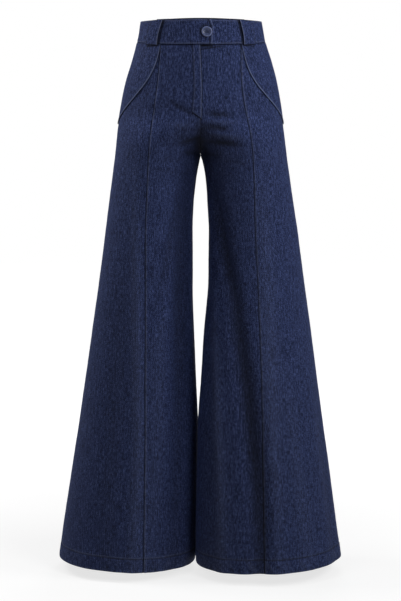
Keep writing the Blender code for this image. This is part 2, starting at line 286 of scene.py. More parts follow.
# Swells and ripples of the cloth: size round it and down it, start and rise.
UNEVENNESS = (
    (55 * MM, 130 * MM, 0, 0.9 * MM),
    (16 * MM, 30 * MM, 7, 0.22 * MM),
)


def unevenness(point):
    """The hand of heavy cloth: nothing on it is quite flat."""
    return sum(
        rise * noise.noise(Vector((point.x / around, point.y / around, point.z / down + start)))
        for around, down, start, rise in UNEVENNESS
    )


def on_form(side, angle, height, lift=0.0):
    """The cloth's outer face, folds and creases included, raised by lift."""
    bare = bare_form(side, angle, height)
    rise = fold_rise(side, angle, height) + lift
    rise += crease_rise(bare, 1 if angle > 0 else -1) + unevenness(bare)
    return bare + outward(side, angle, height) * rise


# How much paler a millimetre of rise makes the cloth, and how much painted shade
# a millimetre of fall puts in it, in the drag lines and in the long folds.
CREASE_WORN, CREASE_SHADE = 0.10, 0.2
FOLD_WORN, FOLD_SHADE = 0.03, 0.045


def fading(side, angle, height):
    """How pale and how dark the cloth is drawn: rubbed pale on ridges, and painted shade in
    hollows.
    """
    bare = bare_form(side, angle, height)
    crease = crease_rise(bare, 1 if angle > 0 else -1) / MM
    fold = fold_rise(side, angle, height) / MM
    worn_and_lit = CREASE_WORN * max(0.0, crease) + FOLD_WORN * max(0.0, fold)
    painted_shade = CREASE_SHADE * max(0.0, -crease) + FOLD_SHADE * max(0.0, -fold)
    return worn_and_lit, painted_shade


def waist_seam(angle):
    """Height of the seam under the waistband, lowest at the middle of the front."""
    return SEAM_SIDE - SEAM_TILT * math.sin(angle)


def hem_height(side, angle):
    return HEM_OUTER[side] - HEM_DROP[side] * (0.5 - 0.5 * math.cos(angle))


def at_x(across, height, lift=0.0, face=1):
    """A place on the front (face 1) or the back (face -1) above the crotch."""
    side = -1 if across < 0 else 1
    middle, half, _ = ring(side, height)
    angle = math.acos(max(-1.0, min(1.0, (abs(across) - middle) / half)))
    return on_form(side, face * angle, height, lift)


def linear(code):
    """An sRGB hex colour as the linear colour that a shader takes."""
    colour = []
    for place in (1, 3, 5):
        part = int(code[place:place + 2], 16) / 255
        colour.append(part / 12.92 if part <= 0.04045 else ((part + 0.055) / 1.055) ** 2.4)
    return colour + [1.0]


def add(tree, kind, settings=(), links=()):
    """Adds a node, sets its properties and sockets, and links its inputs."""
    node = tree.nodes.new(kind)
    for key, value in dict(settings).items():
        if isinstance(key, str) and hasattr(node, key):
            setattr(node, key, value)
        else:
            node.inputs[key].default_value = value
    for socket, source in dict(links).items():
        tree.links.new(source, node.inputs[socket])
    return node


def woven_denim(name, dark, middle, light, rubbed_and_lit, shade_colour):
    """Right hand twill, indigo warp over pale weft: matt, a little hairy, and
    grainy where the pale cores show. The threads are about 0.5 mm apart, which is
    finer than a pixel of the picture, so they are drawn as slubs 1.3 to 1.4 mm
    thick and 7 mm long, with some of 2 by 38 mm along the warp."""
    material = bpy.data.materials.new(name)
    material.use_nodes = True
    tree = material.node_tree
    shader = tree.nodes["Principled BSDF"]
    grain = add(tree, "ShaderNodeUVMap", {"uv_map": "grain"}).outputs["UV"]
    layers = {}
    for layer, a_metre, detail, rough in (
        ("warp slubs", (740, 130, 1), 2, 0.5),
        ("weft slubs", (150, 700, 1), 2, 0.5),
        ("specks", (760, 700, 1), 1, 0.6),
        ("long slubs", (520, 26, 1), 2, 0.5),
    ):
        scaled = add(tree, "ShaderNodeMapping", {"Scale": a_metre}, {"Vector": grain})
        layers[layer] = add(
            tree, "ShaderNodeTexNoise",
            {"noise_dimensions": "2D", "Scale": 1.0, "Detail": detail, "Roughness": rough},
            {"Vector": scaled.outputs["Vector"]},
        ).outputs["Fac"]
    layers["twill"] = add(
        tree, "ShaderNodeTexWave",
        {"wave_type": "BANDS", "bands_direction": "DIAGONAL", "Scale": 150.0, "Distortion": 1.5,
         "Detail": 1.0, "Detail Scale": 2.0},
        {"Vector": grain},
    ).outputs["Fac"]
    woven = layers["warp slubs"]
    for layer, share in (
        ("weft slubs", 0.34), ("specks", 0.38), ("twill", 0.05), ("long slubs", 0.18),
    ):
        threads = woven        # ends without the long slubs, which only change the shade
        woven = add(
            tree, "ShaderNodeMix", {"data_type": "FLOAT", "Factor": share},
            {"A": threads, "B": layers[layer]},
        ).outputs["Result"]
    ramp = add(tree, "ShaderNodeValToRGB", {}, {"Fac": woven})
    stops = ramp.color_ramp.elements
    stops[0].position, stops[0].color = 0.405, linear(dark)
    stops[1].position, stops[1].color = 0.615, linear(light)
    stops.new(0.5).color = linear(middle)
    # The first attribute mixes in the pale colour, for rubbed cloth and for painted highlights
    # along edges; the depth attribute mixes in a near black as painted shade.
    wear_and_highlight = add(tree, "ShaderNodeAttribute", {"attribute_name": "wear_and_highlight"}).outputs["Fac"]
    depth = add(tree, "ShaderNodeAttribute", {"attribute_name": "depth"}).outputs["Fac"]
    rub_and_highlight = add(tree, "ShaderNodeMath", {"operation": "MULTIPLY"}, {0: wear_and_highlight, 1: layers["specks"]})
    colour = ramp.outputs["Color"]
    for code, amount in ((rubbed_and_lit, rub_and_highlight.outputs["Value"]), (shade_colour, depth)):
        colour = add(
            tree, "ShaderNodeMix", {"data_type": "RGBA", "B": linear(code)},
            {"Factor": amount, "A": colour},
        ).outputs["Result"]
    tree.links.new(colour, shader.inputs["Base Color"])
    bump = add(tree, "ShaderNodeBump", {"Strength": 0.4, "Distance": 0.6 * MM}, {"Height": threads})
    tree.links.new(bump.outputs["Normal"], shader.inputs["Normal"])
    for socket, value in (
        ("Roughness", 0.86), ("Specular IOR Level", 0.2), ("Sheen Weight", 0.1),
        ("Sheen Roughness", 0.45), ("Sheen Tint", linear("#7391f2")),
    ):
        shader.inputs[socket].default_value = value
    return material


# The last two colours are a pale one for rubbed cloth and painted highlights, and a near black for
# painted shade.
denim = woven_denim("woven_indigo_denim", "#070d27", "#1d2b56", "#54649b", "#8e9bc6", "#03050e")


def cloth_piece(node, columns, rows, place):
    """A closed wall of denim for this node from place(across, down, layer), which
    returns the point, its place along the grain, how pale it is drawn for wear and
    painted highlight, and how much painted shade it takes. Layer 0 faces out."""
    mesh = bmesh.new()
    bmesh.ops.create_grid(mesh, x_segments=columns, y_segments=rows, size=0.5)
    result = bmesh.ops.extrude_face_region(mesh, geom=mesh.faces[:])
    inner = [item for item in result["geom"] if isinstance(item, bmesh.types.BMVert)]
    bmesh.ops.translate(mesh, verts=inner, vec=(0, 0, 1))
    grain = mesh.loops.layers.uv.new("grain")
    wear_and_highlight = mesh.verts.layers.float.new("wear_and_highlight")
    # The depth layer holds painted shade.
    depth = mesh.verts.layers.float.new("depth")
    along = {}
    for vert in mesh.verts:
        across = (vert.co.x + 0.5) * columns
        down = (vert.co.y + 0.5) * rows
        vert.co, along[vert], vert[wear_and_highlight], vert[depth] = place(across, down, vert.co.z)
    for face in mesh.faces:
        for loop in face.loops:
            loop[grain].uv = along[loop.vert]
    return finish_piece(node + "_cloth", mesh, denim, node)


def finish_piece(name, mesh, material, node, smooth=40):
    """Makes the object of a mesh and hides the node it takes the place of."""
    bmesh.ops.recalc_face_normals(mesh, faces=mesh.faces[:])
    if mesh.calc_volume(signed=True) < 0:
        bmesh.ops.reverse_faces(mesh, faces=mesh.faces[:])
    data = bpy.data.meshes.new(name)
    mesh.to_mesh(data)
    mesh.free()
    data.materials.append(material)
    data.shade_smooth()
    data.set_sharp_from_angle(angle=math.radians(smooth))
    piece = bpy.data.objects.new(name, data)
    bpy.context.scene.collection.objects.link(piece)
    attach(piece, "root")
    if node:
        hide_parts(node)
    return piece


BODY_ROWS, RISE_ROWS, LEG_ROWS, HEM_ROWS = 70, 44, 170, 22
PANEL_ROWS = BODY_ROWS + RISE_ROWS + LEG_ROWS + HEM_ROWS
HEM_TOP = HEM_DEPTH + 5 * MM   # where the rows close up for the hem's stitch line

SEAM_ROLL = 1.1 * MM           # the cloth dips into a seam
SEAM_ROLL_WIDTH = 1.5 * MM
WELT_RISE = 0.75 * MM          # and stands proud over the allowances beside it
WELT_WIDTH = 7 * MM


def row_height(down, top, hem):
    """Height of a row of faces, which lie closer over the hips and at the hem."""
    if down <= BODY_ROWS:
        return mix(top, CROTCH_TOP, down / BODY_ROWS)
    if down <= BODY_ROWS + RISE_ROWS:
        return mix(CROTCH_TOP, CROTCH, (down - BODY_ROWS) / RISE_ROWS)
    if down <= PANEL_ROWS - HEM_ROWS:
        return mix(CROTCH, hem + HEM_TOP, (down - BODY_ROWS - RISE_ROWS) / LEG_ROWS)
    return mix(hem + HEM_TOP, hem, (down - PANEL_ROWS + HEM_ROWS) / HEM_ROWS)


def seam_relief(away, welt):
    """Height of the cloth at a distance from a seam."""
    proud = ease(away, 0, 1.5 * MM) * (1 - ease(away, 3 * MM, WELT_WIDTH))
    return welt * WELT_RISE * proud - SEAM_ROLL * near(away, 0, SEAM_ROLL_WIDTH)


def pucker(away, along, seed):
    """Small ripples that sewing draws up beside a seam."""
    ripple = noise.noise(Vector((along / 0.008, away / 0.02, seed)))
    return 0.35 * MM * ripple * math.exp(-away / (7 * MM))


# Belt loops as x of the foot, x of the top, and front or back.
LOOP_HALF_WIDTH = 11.7 * MM
LOOP_BELOW = 4 * MM
LOOP_CURVE = 1.6
LOOPS = {
    "belt_loop_front_left": (-94 * MM, -83 * MM, 1),
    "belt_loop_front_right": (94.5 * MM, 86 * MM, 1),
    "belt_loop_back_left": (-80 * MM, -76 * MM, -1),
    "belt_loop_back_center": (0.0, 0.0, -1),
    "belt_loop_back_right": (80 * MM, 76 * MM, -1),
}


def loop_shade(point):
    """A painted shadow that a belt loop's foot casts on the cloth under it."""
    total = 0.0
    for low_x, _, face in LOOPS.values():
        inside = 1 - ease(abs(point.x - low_x), LOOP_HALF_WIDTH - 1 * MM, LOOP_HALF_WIDTH + 1 * MM)
        if inside > 0 and face * point.y < 0:
            foot = waist_seam(face * math.acos(abs(low_x) / ring(1, 0.0)[1])) - LOOP_BELOW
            total += inside * near(point.z, foot - 0.8 * MM, 1.5 * MM)
    return total


# Columns of faces across each panel, its flat width and length, and its area.
PANEL_CUTS = {
    "front_center": (56, (0.200, 1.07), 0.160),
    "front_side": (56, (0.250, 1.06), 0.178),
    "back": (84, (0.450, 1.09), 0.352),
}


def leg_panel(name, side, first_angle, last_angle, welts, straight):
    """A panel from the waist seam to the hem, between two seams whose angle is
    a function of the height. welts says how proud each of its edges stands, and
    straight which of them the grain follows (0 the first, 1 the last)."""
    columns, flat, area = PANEL_CUTS[name.rsplit("_", 1)[0]]
    grain_start = 1.3 * side + 0.4 * columns / 56
    above_hems = HEM_OUTER[side] + 2 * HEM_DEPTH
    widths = {}

    def width_at(height):
        if height not in widths:
            angles = [mix(first_angle(height), last_angle(height), step / 8) for step in range(9)]
            samples = [bare_form(side, angle, height) for angle in angles]
            widths[height] = sum((b - a).length for a, b in zip(samples, samples[1:]))
        return widths[height]

    def place(across, down, layer):
        share = crowded(across / columns, 0.85)
        waist = waist_seam(mix(first_angle(SEAM_SIDE), last_angle(SEAM_SIDE), share))
        hem = hem_height(side, mix(first_angle(above_hems), last_angle(above_hems), share))
        height = row_height(down, waist + TUCK, hem)
        angle = mix(first_angle(height), last_angle(height), share)
        width = width_at(round(height, 4))
        from_first, from_last = share * width, (1 - share) * width
        above_hem = height - hem

        rubbed_and_lit = 0.6 + 0.6 * noise.noise(Vector((height / 0.012, side, share)))
        seam_shade = 1.25 - 0.75 * rubbed_and_lit
        worn_and_lit, painted_shade = fading(side, angle, height)
        lift = -TUCK_DEPTH * (1 - ease(waist - height, 0, 3 * MM))
        # Along each seam the groove takes painted shade, and the proud side a pale line that is
        # partly wear and partly painted highlight.
        for away, welt, seed in ((from_first, welts[0], side), (from_last, welts[1], side + 5)):
            lift += seam_relief(away, welt) + pucker(away, height, seed)
            worn_and_lit += rubbed_and_lit * welt * near(away, 1.9 * MM, 1 * MM)
            painted_shade += seam_shade * near(away, 0, 1.1 * MM)

        # The cloth stands proud over the turn-up, dips at its stitches, and is
        # roped with slanting ridges that rub pale. The dip takes painted shade, and the
        # pale lines at the fold and above the stitches are partly painted highlight.
        in_hem = 1 - ease(above_hem, 0.7 * HEM_DEPTH, 1.5 * HEM_DEPTH)
        slant = share * width + 0.6 * above_hem
        roping = noise.noise(Vector((slant / 0.009, side, above_hem / 0.03)))
        lift += 0.5 * MM * in_hem * (1 + roping) - 0.6 * MM * near(above_hem, HEM_DEPTH, 1.6 * MM)
        worn_and_lit += 0.2 * near(above_hem, 0.5 * MM, 1.2 * MM) + 0.25 * in_hem * max(0.0, roping)
        worn_and_lit += 0.6 * rubbed_and_lit * near(above_hem, HEM_DEPTH + 2 * MM, 1 * MM)
        painted_shade += 0.85 * seam_shade * near(above_hem, HEM_DEPTH, 1 * MM)

        thickness = HEM_CLOTH if above_hem < HEM_DEPTH else CLOTH
        point = on_form(side, angle, height, lift - thickness * layer)
        if first_angle in (centre_angle, centre_back):
            above_crotch = ease(height, CROTCH - 6 * MM, CROTCH + 6 * MM)
            point.x *= 1 - near(from_first, 0, 2.5 * MM) * above_crotch
        # Painted shadows under the waistband's lower edge and under the belt loops' feet.
        painted_shade += 0.35 * near(waist, height, 1.6 * MM) + loop_shade(point)
        if name == "front_center_right":
            # Two painted shadows beside the fly: a level one under the tab, and a
            # slanting one just below it.
            slanting = mix(-49 * MM, -41.5 * MM, point.x / (46 * MM))
            painted_shade += near(height, -42 * MM, 1.8 * MM) * ease(point.x, 26 * MM, 22 * MM)
            painted_shade += near(height, slanting, 1.5 * MM) * ease(point.x, 50 * MM, 36 * MM)
        grain = (side * (share - straight) * width + grain_start, -height)
        return point, grain, max(0.0, worn_and_lit), min(1.0, painted_shade)

    piece = cloth_piece(name, columns, PANEL_ROWS, place)


def side_seam(height):
    return 0.0


def centre_back(height):
    return -centre_angle(height)


def princess_seam(side):
    return lambda height: seam_angle(side, height)


# The allowances lie to the right of each princess seam, which stands proud there.
leg_panel("front_center_left", -1, centre_angle, princess_seam(-1), (0.4, 1.0), 1)
leg_panel("front_side_left", -1, princess_seam(-1), side_seam, (0.0, 0.6), 0)
leg_panel("front_center_right", 1, centre_angle, princess_seam(1), (0.0, 0.0), 1)
leg_panel("front_side_right", 1, princess_seam(1), side_seam, (0.7, 0.6), 0)
leg_panel("back_left", -1, centre_back, side_seam, (0.6, 0.0), 1)
leg_panel("back_right", 1, centre_back, side_seam, (0.0, 0.0), 1)


# ---- Hip yokes --------------------------------------------------------------
# A curved piece of the same denim over the top of each front side panel. Its
# free edge leaves the princess seam under the belt loop and swings out to the
# side seam; it is turned under, pressed and edge stitched.

OVERLAY_CLOTH = 1.2 * MM
OVERLAY_LOFT = 0.5 * MM        # pressed edges still spring up a little
YOKE_ANGLE = math.radians(53.4)
YOKE_START = -47 * MM
YOKE_FALL = 140 * MM
YOKE_CURVE = 0.4
YOKE_SPREAD = 1.4
YOKE_EDGE_LENGTH = 0.19


def rounded(away, radius):
    """Share of its full height that a turned edge has at a distance from it."""
    return math.sqrt(max(0.0, 1 - (1 - min(1.0, away / radius)) ** 2))


def yoke_edge(share):
    """Angle and height of the free edge, from the princess seam to the side."""
    angle = YOKE_ANGLE * (1 - share ** YOKE_SPREAD)
    return angle, YOKE_START - YOKE_FALL * share ** (YOKE_SPREAD * YOKE_CURVE)


def yoke_slope(share, half):
    """Fall of the free edge for each metre along the hip."""
    power = YOKE_SPREAD * YOKE_CURVE
    fall = YOKE_FALL * power * share ** (power - 1)
    return fall / (half * YOKE_ANGLE * YOKE_SPREAD * share ** (YOKE_SPREAD - 1))


def make_yoke(side, word):
    columns, rows = 72, 60

    def place(across, down, layer):
        share = across / columns
        angle, edge = yoke_edge(share)
        even = down / rows
        top = waist_seam(angle) - SEAM_ROOM
        height = mix(top, edge, mix(even, 1 - (1 - even) ** 2, 0.8))
        half = ring(side, height)[1]
        away = (height - edge) / math.hypot(1, yoke_slope(max(share, 0.004), half))
        thick = (OVERLAY_CLOTH + OVERLAY_LOFT) * mix(0.35, 1.0, rounded(away, 1.2 * MM))
        lift = GAP + thick * (1 - layer) + pucker(away, share * YOKE_EDGE_LENGTH, 11)
        lift += 0.6 * MM * near(away, 2.6 * MM, 2 * MM) - 0.3 * MM * near(away, 6 * MM, 1 * MM)
        lift -= 0.7 * MM * near(top, height, 2 * MM)
        point = on_form(side, angle, height, lift)
        worn_and_lit, painted_shade = fading(side, angle, height)
        # A pale line along the free edge, partly wear and partly painted highlight, and painted
        # shade at the edge, under the band and under the loop's foot.
        worn_and_lit += 1.1 * near(away, 1.8 * MM, 1.1 * MM)
        painted_shade += 0.7 * near(away, 0, 0.7 * MM) + 0.35 * near(top, height, 1.6 * MM)
        painted_shade += loop_shade(point)
        return point, (side * (angle * half + 9), -height), worn_and_lit, min(1.0, painted_shade)

    piece = cloth_piece("hip_yoke_" + word, columns, rows, place)


make_yoke(-1, "left")
make_yoke(1, "right")


# ---- Fly --------------------------------------------------------------------
# The wearer's right front laps the left over a zip. The facing behind it makes
# a raised strip, soft along its stitched side and sharp at the opening edge,
# and ends in a slanting row of stitches.

FLY_LEFT = ((-40 * MM, -17 * MM), (-120 * MM, -14 * MM), (-180 * MM, -18.5 * MM))
FLY_RIGHT = ((-40 * MM, 0.5 * MM), (-120 * MM, 4 * MM), (-188 * MM, 3 * MM))
FLY_END_LEFT = -172 * MM
FLY_END_RIGHT = -187 * MM
FLY_STITCH_IN = 3.5 * MM


def along_line(line, height):
    """x of a line given as (height, x) places, from the highest down."""
    for (high, high_x), (low, low_x) in zip(line, line[1:]):
        if height >= low:
            return mix(high_x, low_x, min(1.0, max(0.0, (high - height) / (high - low))))
    return line[-1][1]


def make_fly():
    columns, rows = 32, 100

    def place(across, down, layer):
        share = crowded(across / columns, 0.5)
        end = mix(FLY_END_LEFT, FLY_END_RIGHT, share)
        top = waist_seam(math.pi / 2) - SEAM_ROOM
        even = down / rows
        height = mix(top, end, mix(even, math.sin(even * math.pi / 2), 0.6))
        left, right = along_line(FLY_LEFT, height), along_line(FLY_RIGHT, height)
        x = mix(left, right, share)
        from_left, from_right, from_end = x - left, right - x, height - end
        body = ease(from_left, 0, FLY_STITCH_IN)
        foot = ease(from_end, 1.2 * MM, 2.8 * MM)
        thick = (OVERLAY_CLOTH + OVERLAY_LOFT) * (1 - layer)
        thick *= mix(0.15, 1.0, body * foot) * mix(0.4, 1.0, rounded(from_right, 1 * MM))
        lift = GAP + thick - 0.6 * MM * (1 - body) + pucker(min(from_left, from_right), height, 17)
        # Pale lines by the opening edge and the stitches, partly wear and partly painted highlight;
        # painted shade along the edges and at the foot.
        worn_and_lit = 0.65 * near(from_right, 2 * MM, 1.1 * MM)
        worn_and_lit += 0.2 * near(from_left, FLY_STITCH_IN, 1.2 * MM)
        painted_shade = max(near(from_right, 0, 1.3 * MM), near(from_end, 0.4 * MM, 2.2 * MM),
                   0.7 * near(from_left, 0, 1.8 * MM))
        return at_x(x, height, lift), (x, -height), worn_and_lit, painted_shade

    piece = cloth_piece("fly_facing", columns, rows, place)


make_fly()


# ---- Waistband --------------------------------------------------------------
# A doubled straight band in two halves joined at the centre back. Its tab laps
# over the other half at the front and ends in a cut corner.

BAND_CLOTH = 2.4 * MM
BAND_LIFT = 1.5 * MM
BAND_REACH = 0.11              # metres round the band for each radian
BAND_STITCH_IN = 3 * MM
TOP_SIDE = 21 * MM
TOP_TILT = 16.5 * MM
TOP_BOW = 5.5 * MM
TAB_END = ((-40 * MM, 22.4 * MM), (-3.5 * MM, 25 * MM), (12 * MM, 18.5 * MM))
TAB_LIFT = BAND_CLOTH + GAP
TAB_RAMP = (-36 * MM, -14 * MM)
UNDERLAP_END = 3 * MM


def waist_top(angle):
    """Height of the band's upper edge."""
    level = math.sin(angle)
    return TOP_SIDE - TOP_TILT * level + TOP_BOW * level * level


def tab_end(height):
    """x of the tab's end, which leans out to its corner and is cut back above."""
    for (low, low_x), (high, high_x) in zip(TAB_END, TAB_END[1:]):
        if height <= high:
            return mix(low_x, high_x, max(0.0, (height - low) / (high - low)))
    return TAB_END[-1][1]


def band_point(side, travel, height, lift):
    """A place on the band; travel runs from the centre back past the front."""
    if travel > math.pi / 2:
        return on_form(-side, math.pi - travel, height, lift)
    return on_form(side, travel, height, lift)


def band_lift(side, travel, height, overlap):
    """Outer face of the band over the form, with the tab on the other half."""
    x = ring(side, height)[1] * math.cos(travel) * side
    over = TAB_LIFT * ease(x, *TAB_RAMP) if overlap and travel > 1 else 0.0
    return BAND_LIFT + over


def make_band(side, word, end_x, overlap):
    columns, rows = 230, 30

    def place(across, down, layer):
        even = across / columns
        share = mix(even, 1 - (1 - even) ** 2, 0.8)
        level = crowded(down / rows, 0.7)
        plain = mix(-math.pi / 2, math.pi / 2, share)
        height = mix(waist_seam(plain), waist_top(plain), level)
        reach = math.asin(end_x(height) / ring(-side, height)[1])
        travel = mix(-math.pi / 2, math.pi / 2 + reach, share)
        low, top = waist_seam(travel), waist_top(travel)
        height = mix(low, top, level)
        from_tab = (1 - share) * (math.pi / 2 + reach) * BAND_REACH if overlap else 1.0
        away = min(height - low, top - height, from_tab)
        flat = 1 - rounded(away, 1.2 * MM)
        along = travel * BAND_REACH
        wave = noise.noise(Vector((along / 0.03, level * 1.5, side + 3)))
        lift = band_lift(side, travel, height, overlap)
        if layer == 0:
            lift -= 0.9 * MM * flat + 0.25 * MM * near(away, BAND_STITCH_IN, 0.9 * MM)
        else:
            lift -= BAND_CLOTH - 0.6 * MM * flat
        lift += 0.5 * MM * wave * math.sin(math.pi * level) + pucker(away, along, 23)
        point = band_point(side, travel, height, lift)
        # Pale lines at the edges and the tab's end, partly wear and partly painted highlight, and
        # painted shade beside the tab's end, along the lower edge and over the inside face.
        worn_and_lit = 0.35 * near(top - height, 1.6 * MM, 1.1 * MM) + 0.6 * near(from_tab, 0, 0.8 * MM)
        worn_and_lit += 0.35 * near(height - low, 2.2 * MM, 1.2 * MM)
        painted_shades = [
            0.8 * near(from_tab, 2.4 * MM, 0.9 * MM), 0.5 * near(height - low, 0, 1 * MM),
            0.85 * layer * ease(from_tab, 0, 2 * MM),
        ]
        if travel > 0 and layer == 0:
            # A painted shadow beside the inner edge of each front loop.
            for low_x, high_x, face in LOOPS.values():
                shade_x = mix(low_x, high_x, level ** LOOP_CURVE)
                shade_x -= math.copysign(LOOP_HALF_WIDTH + 1 * MM, low_x)
                painted_shades.append(0.9 * near(point.x, shade_x, 1.7 * MM) if face == 1 else 0.0)
        if travel > 0 and overlap:
            # A painted shadow round the button.
            from_button = math.hypot(point.x - 10 * MM, height + 13 * MM)
            painted_shades.append(0.75 * near(from_button, 10.5 * MM, 2.5 * MM))
        return point, (along + 5 * side, level * (top - low)), worn_and_lit, max(painted_shades)

    piece = cloth_piece("waistband_" + word, columns, rows, place)


make_band(-1, "left", tab_end, True)
make_band(1, "right", lambda height: UNDERLAP_END, False)


# ---- Belt loops -------------------------------------------------------------
# Wide straps of folded denim over the waistband, turned under at both ends and
# sewn down above and below it: two in front over the princess seams, three
# behind.

LOOP_CLOTH = 1.6 * MM
LOOP_END = 3.0 * MM            # thickness where the ends are turned under
LOOP_BOW = 0.5 * MM
LOOP_LENGTH = 48 * MM
LOOP_STITCH_IN = 2.6 * MM


def loop_place(name, across, along, lift):
    """A place on a strap: across from -1 to 1, along from its foot to its top."""
    low_x, high_x, face = LOOPS[name]
    x = mix(low_x, high_x, along ** LOOP_CURVE) + LOOP_HALF_WIDTH * across
    angle = face * math.acos(abs(x) / ring(1, 0.0)[1])
    height = mix(waist_seam(angle) - LOOP_BELOW, waist_top(angle) - GAP, along)
    return at_x(x, height, lift, face)


def make_loop(name):
    columns, rows = 26, 48
    low_x = LOOPS[name][0]

    def place(across, down, layer):
        side_share = crowded(across / columns, 0.8) * 2 - 1
        along = crowded(down / rows, 0.6)
        from_side = (1 - abs(side_share)) * LOOP_HALF_WIDTH
        from_end = min(along, 1 - along) * LOOP_LENGTH
        lift = BAND_LIFT + GAP + LOOP_END + LOOP_BOW * math.sin(math.pi * along)
        if layer == 0:
            lift -= 0.7 * MM * (1 - rounded(from_side, 0.9 * MM) * rounded(from_end, 1.3 * MM))
            lift -= 0.35 * MM * near(from_side, LOOP_STITCH_IN, 0.8 * MM)
        else:
            lift -= mix(LOOP_END, LOOP_CLOTH, ease(from_end, 6 * MM, 9 * MM))
        point = loop_place(name, side_share, along, lift)
        # A pale line along the edges, strongest on the inner edge of the side loops, partly wear
        # and partly painted highlight; painted shade along both sides and at the foot.
        worn_and_lit = (0.9 if side_share * low_x < 0 else 0.12) * near(from_side, 1.5 * MM, 0.8 * MM)
        painted_shade = max(near(from_side, 0, 0.9 * MM), near(along * LOOP_LENGTH, 0, 1.2 * MM))
        return point, (side_share * 0.015, along * LOOP_LENGTH), worn_and_lit, painted_shade

    piece = cloth_piece(name, columns, rows, place)


for loop_name in LOOPS:
    make_loop(loop_name)


# ---- Button -----------------------------------------------------------------
# A moulded four hole button with a raised rim, blue grey polyester with a satin
# polish, sewn through the tab with navy thread.

BUTTON_PLACE = (12 * MM, -15 * MM)
BUTTON_RADIUS = 10.3 * MM
HOLE_OFFSET = 1.9 * MM
HOLE_RADIUS = 0.95 * MM


def button_frame():
    """Matrix that sets the button's axis square to the tab under it."""
    x, height = BUTTON_PLACE
    middle, half, _ = ring(1, height)
    angle = math.acos((x - middle) / half)
    seat = on_form(1, angle, height, BAND_LIFT + TAB_LIFT + 2 * GAP)
    turn = Vector((0, 0, 1)).rotation_difference(outward(1, angle, height))
    return Matrix.Translation(seat) @ turn.to_matrix().to_4x4()


def polished_plastic(name):
    """Cast polyester: smooth, faintly clouded in patches of 4 to 5 mm, with a soft
    highlight, and a paler rim that is a painted highlight."""
    material = bpy.data.materials.new(name)
    material.use_nodes = True
    tree = material.node_tree
    shader = tree.nodes["Principled BSDF"]
    place = add(tree, "ShaderNodeTexCoord").outputs["Object"]
    cloud = add(tree, "ShaderNodeTexNoise", {"Scale": 220.0, "Detail": 3.0}, {"Vector": place})
    ramp = add(tree, "ShaderNodeValToRGB", {}, {"Fac": cloud.outputs["Fac"]})
    ramp.color_ramp.elements[0].color = linear("#303b60")
    ramp.color_ramp.elements[1].color = linear("#435078")
    rim_highlight = add(tree, "ShaderNodeAttribute", {"attribute_name": "rim_highlight"}).outputs["Fac"]
    colour = add(
        tree, "ShaderNodeMix", {"data_type": "RGBA", "B": linear("#6f7db0")},
        {"Factor": rim_highlight, "A": ramp.outputs["Color"]},
    )
    tree.links.new(colour.outputs["Result"], shader.inputs["Base Color"])
    shader.inputs["Roughness"].default_value = 0.32
    return material


def sewing_thread(name, code):
    """Core spun sewing thread: matt, with the turn of its ply every 0.7 mm."""
    material = bpy.data.materials.new(name)
    material.use_nodes = True
    tree = material.node_tree
    shader = tree.nodes["Principled BSDF"]
    place = add(tree, "ShaderNodeTexCoord").outputs["Object"]
    ply = add(tree, "ShaderNodeTexNoise", {"Scale": 1400.0, "Detail": 1.0}, {"Vector": place})
    ramp = add(tree, "ShaderNodeValToRGB", {}, {"Fac": ply.outputs["Fac"]})
    ramp.color_ramp.elements[0].color = linear("#0c1226")
    ramp.color_ramp.elements[1].color = linear(code)
    tree.links.new(ramp.outputs["Color"], shader.inputs["Base Color"])
    shader.inputs["Roughness"].default_value = 0.7
    return material


plastic = polished_plastic("moulded_button_plastic")
thread = sewing_thread("navy_sewing_thread", "#2a3558")


def make_button():
    # Half a section, from the middle of the back round the rim to the middle of
    # the front: the radius as a share of the button's, and the height.
    profile = (
        (0.0, 0.0), (0.80, 0.0), (0.93, 0.35 * MM), (1.0, 1.1 * MM), (1.0, 1.9 * MM),
        (0.97, 2.6 * MM), (0.90, 3.0 * MM), (0.80, 3.0 * MM), (0.72, 2.6 * MM),
        (0.66, 2.05 * MM), (0.55, 1.8 * MM), (0.0, 1.65 * MM),
    )
    mesh = bmesh.new()
    points = [mesh.verts.new((radius * BUTTON_RADIUS, 0, level)) for radius, level in profile]
    edges = [mesh.edges.new(pair) for pair in zip(points, points[1:])]
    bmesh.ops.spin(
        mesh, geom=points + edges, cent=(0, 0, 0), axis=(0, 0, 1),
        angle=2 * math.pi, steps=64, use_merge=True, use_duplicate=False,
    )
    bmesh.ops.remove_doubles(mesh, verts=mesh.verts[:], dist=0.01 * MM)
    rim_highlight = mesh.verts.layers.float.new("rim_highlight")
    # The outer top of the rim is painted paler, as a highlight.
    for vert in mesh.verts:
        reach = vert.co.xy.length / BUTTON_RADIUS
        vert[rim_highlight] = ease(reach, 0.74, 0.88) * ease(vert.co.z, 1.6 * MM, 2.6 * MM)
    piece = finish_piece("button_disc", mesh, plastic, "button", 50)
    cutter_mesh = bmesh.new()
    for x in (-HOLE_OFFSET, HOLE_OFFSET):
        for y in (-HOLE_OFFSET, HOLE_OFFSET):
            bmesh.ops.create_cone(
                cutter_mesh, cap_ends=True, segments=20, radius1=HOLE_RADIUS, radius2=HOLE_RADIUS,
                depth=8 * MM, matrix=Matrix.Translation((x, y, 0)),
            )
    cutter_data = bpy.data.meshes.new("hole_cutter")
    cutter_mesh.to_mesh(cutter_data)
    cutter_mesh.free()
    cutter = bpy.data.objects.new("hole_cutter", cutter_data)
    bpy.context.scene.collection.objects.link(cutter)
    cut = piece.modifiers.new("holes", "BOOLEAN")
    cut.operation = "DIFFERENCE"
    cut.object = cutter
    evaluated = piece.evaluated_get(bpy.context.evaluated_depsgraph_get())
    drilled = bpy.data.meshes.new_from_object(evaluated)
    piece.modifiers.clear()
    drilled.transform(button_frame())
    piece.data = drilled
    bpy.data.objects.remove(cutter, do_unlink=True)


make_button()


